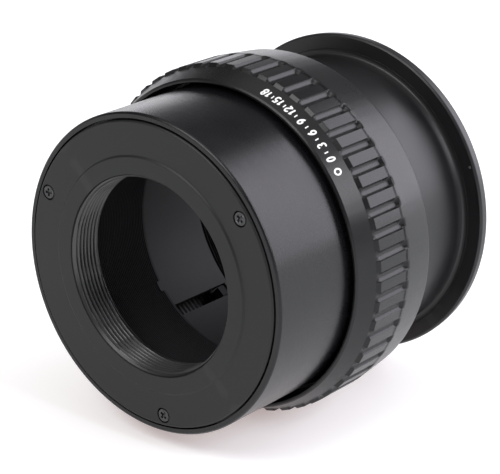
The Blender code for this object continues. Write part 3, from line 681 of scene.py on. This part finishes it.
def strokeSolid(path, width):
    # a flat bar whose four corners are carried along the path, offset to each side by half its width
    along = np.gradient(path, axis=0)
    along /= np.linalg.norm(along, axis=1, keepdims=True) + 1e-12
    side = np.stack([-along[:, 1], along[:, 0]], -1) * width / 2
    corners = np.stack([path + side, path + side, path - side, path - side])   # (4, n, [arc mm, station])
    lift, sunken = marking["lift"], marking["lift"] - marking["thick"]
    radius = collarRadius(corners[..., 1]) + np.array([lift, sunken, sunken, lift])[:, None]
    clock = corners[..., 0] / marking["radius"]
    n = path.shape[0]
    quads = gridQuads(4, n, True, False)
    caps = np.array([[0, n, 2 * n, 3 * n], [n - 1, 4 * n - 1, 3 * n - 1, 2 * n - 1]])
    return place(radius, clock, corners[..., 1]).reshape(-1, 3), np.concatenate([quads, caps])


def joinSolids(name, solids):
    # each stroke is a closed solid of its own, all in one mesh
    points, quads, start = [], [], 0
    for spots, faces in solids:
        points.append(spots)
        quads.append(faces + start)
        start += len(spots)
    return meshFrom(name, np.concatenate(points), np.concatenate(quads), weld=1e-9, sharp=30.0)


strokes = []
figureWidth = marking["width"] * marking["narrow"]
for n, text in enumerate(marking["figures"]):
    middle = arcLength(marking["startClock"] - n * marking["stepClock"])
    for k, figure in enumerate(text):
        shift = (k - len(text) / 2) * marking["spacing"] * figureWidth
        for path in numerals[figure]:
            u = (path[:, 0] + marking["slant"] * path[:, 1]) * figureWidth + shift
            v = marking["baseline"] - path[:, 1] * marking["height"]
            strokes.append(strokeSolid(np.stack([middle - u, v], -1), marking["stroke"]))
    if n:
        # a short tick halfway to the figure before
        at = middle + arcLength(marking["stepClock"] / 2)
        ends = [(at, marking["baseline"] - up) for up in marking["tick"]]
        strokes.append(strokeSolid(linePath(*ends), marking["tickWidth"]))
strokes.append(strokeSolid(arcPath(arcLength(marking["startClock"] + marking["circleClock"]),
                                   marking["baseline"] - marking["circleUp"], marking["circleRadius"],
                                   marking["circleRadius"], 0, 360, 34), marking["stroke"]))
travelScale = joinSolids("travelScale", strokes)
adopt(travelScale, finishes["paint"], "ring_group", "dot_white")
print("travel scale done")


# Helicoid sleeve, turned inside the focus ring

sleeve = {"bore": 31.75, "lipBore": 30.9, "radius": 32.65, "flangeRadius": 36.2, "front": 22.7, "lipBack": 23.2,
          "flangeFront": 44.7, "back": 45.8, "pitch": 1.2, "cut": 0.18, "crest": 0.2, "threadFront": 24.0,
          "threadBack": 45.2, "rows": 140, "columns": 160, "screwClocks": [25.0, 115.0, 205.0, 295.0],
          "screwCircle": 35.2}
sleeveScrews = {"head": 0.9, "shank": 0.35, "length": 3.5, "face": 46.1, "direction": -1,
                "spins": [15.0, 46.0, 77.0, 108.0]}
sleeveCorners = [(sleeve["lipBore"], sleeve["front"], 0.1), (sleeve["radius"], sleeve["front"], 0.2),
                 (sleeve["radius"], sleeve["flangeFront"], 0.1), (sleeve["flangeRadius"], sleeve["flangeFront"], 0.1),
                 (sleeve["flangeRadius"], sleeve["back"], 0.15), (sleeve["bore"], sleeve["back"], 0.15),
                 (sleeve["bore"], sleeve["lipBack"], 0.05), (sleeve["lipBore"], sleeve["lipBack"], 0.08)]


def sleeveShape(radius, clock, station):
    # the thread is cut into the bore and climbs the other way
    inner = np.abs(radius - sleeve["bore"]) < 0.01
    along = fade(station, sleeve["threadFront"], sleeve["threadBack"], 0.4)
    cut = sleeve["cut"] * threadWave(station, -clock, sleeve["pitch"], sleeve["crest"]) * along
    return np.where(inner, radius + cut, radius), clock, station


sleeveOutline = outlineWith(sleeveCorners, (5, evenRows(sleeve["bore"], sleeve["back"] - 0.4, sleeve["lipBack"] + 0.4,
                                                        sleeve["rows"])), steps=2)
sleevePiece = turnedPiece("helicoidSleeve", sleeveOutline, evenClocks(sleeve["columns"]), sleeveShape)
adopt(sleevePiece, finishes["sleeve"], "ring_group", "guide_black", "helicoid_sleeve")
screwSet("sleeveScrew", "sleeve_screw", sleeve["screwClocks"], sleeve["screwCircle"], sleeveScrews,
         finishes["screw"], "ring_group", "screw_black")
print("sleeve done")


# Rear barrel and its flange

rear = {"radius": 31.4, "bore": 30.4, "front": 43.2, "throat": 25.6, "throatFront": 66.3, "throatBack": 67.8,
        "flangeRadius": 36.45, "flangeFront": 66.34, "groove": 66.44, "back": 69.46, "seatRadius": 31.5,
        "ribPitch": 0.75, "ribDepth": 0.3, "ribCrest": 0.1, "ribFront": 47.5, "ribBack": 65.5, "ribRows": 170,
        "columns": 240, "insideTo": 30.6}


def rearShape(radius, clock, station):
    # light trap: fine ridges stand into the bore
    inner = (np.abs(radius - rear["bore"]) < 0.01) & (station > rear["ribFront"] - 1.0)
    along = fade(station, rear["ribFront"], rear["ribBack"], 0.4)
    ridge = rear["ribDepth"] * threadWave(station, clock, rear["ribPitch"], rear["ribCrest"]) * along
    return np.where(inner, radius - ridge, radius), clock, station


# a fillet leads from the barrel to the flange, whose front face has one fine groove
rearCorners = [(rear["bore"], rear["front"], 0.1), (31.2, rear["front"], 0.08), (rear["radius"], 43.4, 0.08),
               (rear["radius"], 64.9, 0.9), (31.85, 66.1, 0.4), (32.55, rear["flangeFront"], 0.2),
               (32.9, rear["flangeFront"], 0.02), (32.94, rear["groove"], 0.02), (33.06, rear["groove"], 0.02),
               (33.1, rear["flangeFront"], 0.02), (36.0, rear["flangeFront"], 0.10),
               (rear["flangeRadius"], 66.75, 0.15), (36.3, 68.56, 0.3), (35.55, rear["back"], 0.2),
               (rear["seatRadius"], rear["back"], 0.08), (rear["seatRadius"], rear["throatBack"], 0.06),
               (rear["throat"], rear["throatBack"], 0.1), (rear["throat"], rear["throatFront"], 0.1),
               (rear["bore"], rear["throatFront"], 0.12)]
ribRows = evenRows(rear["bore"], rear["throatFront"] - 0.4, rear["ribFront"] - 0.5, rear["ribRows"])
rearOutline = outlineWith(rearCorners, (18, ribRows))
rearBarrel = turnedPiece("rearBarrel", rearOutline, evenClocks(rear["columns"]), rearShape)
adopt(rearBarrel, finishes["rear"], "rear_group", "barrel_black", "rear_barrel")
paintInside(rearBarrel, rear["insideTo"], finishes["inside"])
print("rear barrel done")


# Bayonet ring with four lugs

bayonet = {"bore": 25.3, "plateRadius": 31.2, "tube": 26.6, "lug": 28.2, "plateFront": 68.1, "register": 69.46,
           "end": 74.0, "lugDepth": 1.5, "lugClocks": [20.0, 110.0, 200.0, 290.0], "lugHalf": 16.0, "lugEdge": 0.25,
           "screwCircle": 28.9, "screwClocks": [65.0, 155.0, 245.0, 335.0], "sinkRadius": 1.45, "sinkDepth": 0.75,
           "lockClock": 90.0, "lockDepth": 1.2, "columns": 180}
bayonetScrews = {"head": 1.15, "shank": 0.45, "length": 2.9, "face": 69.36, "direction": -1,
                 "spins": [20.0, 57.0, 94.0, 131.0]}
dot = {"clock": 68.3, "circle": 35.35, "face": 66.28, "direction": 1, "head": 0.3, "shank": 0.28, "length": 0.4,
       "spin": 0.0, "recess": 0.0}


def bayonetShape(radius, clock, station):
    # outside the lugs their rows fall back to the tube
    centres = np.radians(bayonet["lugClocks"])
    gap = np.degrees(np.min(np.abs(arcGap(clock[..., None], centres)), axis=-1))
    onLug = np.clip((bayonet["lugHalf"] + bayonet["lugEdge"] - gap) / (2 * bayonet["lugEdge"]), 0, 1)
    lugRow = (station > bayonet["register"] + 1.0) & (radius > bayonet["tube"])
    radius = np.where(lugRow, bayonet["tube"] + (radius - bayonet["tube"]) * onLug, radius)
    radius, clock, station = pressSinks(radius, clock, station, bayonet["screwClocks"], bayonet["screwCircle"],
                                        bayonet["sinkRadius"], bayonet["register"], -bayonet["sinkDepth"])
    return pressSinks(radius, clock, station, [bayonet["lockClock"]], bayonet["screwCircle"],
                      bayonet["sinkRadius"], bayonet["register"], -bayonet["lockDepth"])


bayonetCorners = [(bayonet["bore"], bayonet["plateFront"], 0.1), (bayonet["plateRadius"], bayonet["plateFront"], 0.1),
                  (bayonet["plateRadius"], 69.31, 0.04), (31.05, bayonet["register"], 0.06),
                  (bayonet["tube"], bayonet["register"], 0.12),
                  (bayonet["tube"], bayonet["end"] - bayonet["lugDepth"], 0.1),
                  (bayonet["lug"], bayonet["end"] - bayonet["lugDepth"], 0.12), (bayonet["lug"], bayonet["end"], 0.2),
                  (26.55, bayonet["end"], 0.06), (25.6, bayonet["end"], 0.15), (bayonet["bore"], 73.6, 0.15)]
bayonetOutline = outlineWith(bayonetCorners, (3, sinkRows(bayonet["register"], bayonet["screwCircle"],
                                                          bayonet["sinkRadius"], -1)))
bayonetColumns = sinkColumns(bayonet["screwClocks"] + [bayonet["lockClock"]], bayonet["screwCircle"],
                             bayonet["sinkRadius"], bayonet["columns"])
lugSteps = np.array([-16.3, -16.2, -15.8, -15.7, 15.7, 15.8, 16.2, 16.3])
lugEnds = np.radians(np.array(bayonet["lugClocks"])[:, None] + lugSteps).ravel()
bayonetColumns = np.sort(np.concatenate([clearOf(bayonetColumns, lugEnds, 0.003), lugEnds % (2 * math.pi)]))
bayonetRing = turnedPiece("bayonetRing", bayonetOutline, bayonetColumns, bayonetShape)
adopt(bayonetRing, finishes["chrome"], "rear_group", "bayonet_chrome", "bayonet_ring")
screwSet("bayonetScrew", "bayonet_screw", bayonet["screwClocks"], bayonet["screwCircle"], bayonetScrews,
         finishes["steelScrew"], "rear_group", "screw_steel")

# the index dot takes the dark grey paint, which is painted shade for the shaded flange face and not the dot's own
# white
indexDot = screwPiece("indexDot", **dot)
adopt(indexDot, finishes["shadedDotPaint"], "rear_group", "dot_white", "index_dot")
print("bayonet done")


# Nodes kept from the frame take a finish

for node, finish in (("guide_retainer", "retainer"), ("front_key_1", "inside"), ("front_key_2", "inside"),
                     ("rear_key_1", "inside"), ("rear_key_2", "inside")):
    kept = frame["nodes"][node]
    kept.data.materials.clear()
    kept.data.materials.append(finishes[finish])


# Studio: pale floor, soft lights, camera

studio = {"floorSize": 3.0, "floorDark": (0.72, 0.79, 0.80), "floorLight": (0.74, 0.81, 0.82), "floorWash": 6.0,
          "floorRough": 0.8, "floorSpecular": 0.1, "glow": (1.0, 0.83, 0.81, 1), "glowStrength": 0.43, "world": 1.0,
          "sky": ((0.0, 0.95), (0.22, 0.75), (0.46, 0.24), (0.64, 0.08), (1.0, 0.22)), "skyBlue": 1.02,
          "cameraPlace": (0.25018, -0.30792, 0.18517), "cameraTilt": 69.4, "cameraTurn": 39.5, "lens": 141.96,
          "sensor": 36.0, "clip": 0.01}

floorMesh = bpy.data.meshes.new("floor")
half = studio["floorSize"] / 2
floorMesh.from_pydata([(-half, -half, 0), (half, -half, 0), (half, half, 0), (-half, half, 0)], [], [(0, 1, 2, 3)])
floor = newObject("floor", floorMesh)
floorPaint, tree, shader = newMaterial("paleFloor")
wash = noise(tree, addNode(tree, "ShaderNodeTexCoord").outputs["Object"], studio["floorWash"])
tree.links.new(mixColours(tree, wash, studio["floorDark"], studio["floorLight"]), shader.inputs["Base Color"])
shader.inputs["Roughness"].default_value = studio["floorRough"]
shader.inputs["Specular IOR Level"].default_value = studio["floorSpecular"]
# the table is lit from below, so shadows stay pale and warm
shader.inputs["Emission Color"].default_value = studio["glow"]
shader.inputs["Emission Strength"].default_value = studio["glowStrength"]
floor.data.materials.append(floorPaint)

world = bpy.data.worlds.new("studioWorld")
bpy.context.scene.world = world
world.use_nodes = True
tree = world.node_tree
background = next(n for n in tree.nodes if n.type == "BACKGROUND")
direction = addNode(tree, "ShaderNodeTexCoord").outputs["Generated"]
height = addNode(tree, "ShaderNodeSeparateXYZ", {0: direction}).outputs[2]
ramp = addNode(tree, "ShaderNodeValToRGB", {"Fac": height})
ramp.color_ramp.interpolation = "EASE"
for stop, level in studio["sky"]:
    # the ramp starts with one stop at each end
    stops = ramp.color_ramp.elements
    element = stops[int(stop)] if stop in (0.0, 1.0) else stops.new(stop)
    element.color = (level, level, level * studio["skyBlue"], 1)
tree.links.new(ramp.outputs[0], background.inputs["Color"])
background.inputs["Strength"].default_value = studio["world"]


def softBox(name, spot, width, height, strength, colour=(1, 1, 1)):
    # a rectangle of light at the spot, turned to the middle of the object
    light = bpy.data.lights.new(name, "AREA")
    light.shape = "RECTANGLE"
    light.size, light.size_y = width, height
    light.energy = strength
    light.color = colour
    lamp = newObject(name, light)
    lamp.location = spot
    away = np.array(spot) - np.array((0, 0, axisHeight))
    away = away / np.linalg.norm(away)
    lamp.rotation_euler = (math.acos(away[2]), 0, math.atan2(away[0], -away[1]))


softBox("rightBack", (0.40, 0.71, 0.405), 0.66, 0.74, 6.6, (0.94, 0.92, 1.0))
softBox("backLeft", (-0.825, 0.855, 0.225), 0.6, 0.36, 0.8, (0.95, 0.94, 1.0))
softBox("right", (0.835, 0.082, 0.584), 0.5, 0.5, 6.0, (0.95, 0.94, 1.0))
softBox("frontAbove", (-0.10, -0.66, 0.74), 0.65, 0.40, 5.2)

camera = newObject("camera", bpy.data.cameras.new("camera"))
camera.location = studio["cameraPlace"]
camera.rotation_euler = (math.radians(studio["cameraTilt"]), 0, math.radians(studio["cameraTurn"]))
camera.data.lens = studio["lens"]
camera.data.sensor_width = studio["sensor"]
camera.data.clip_start = studio["clip"]
bpy.context.scene.camera = camera
bpy.context.scene.view_settings.view_transform = "Standard"
print("studio done")
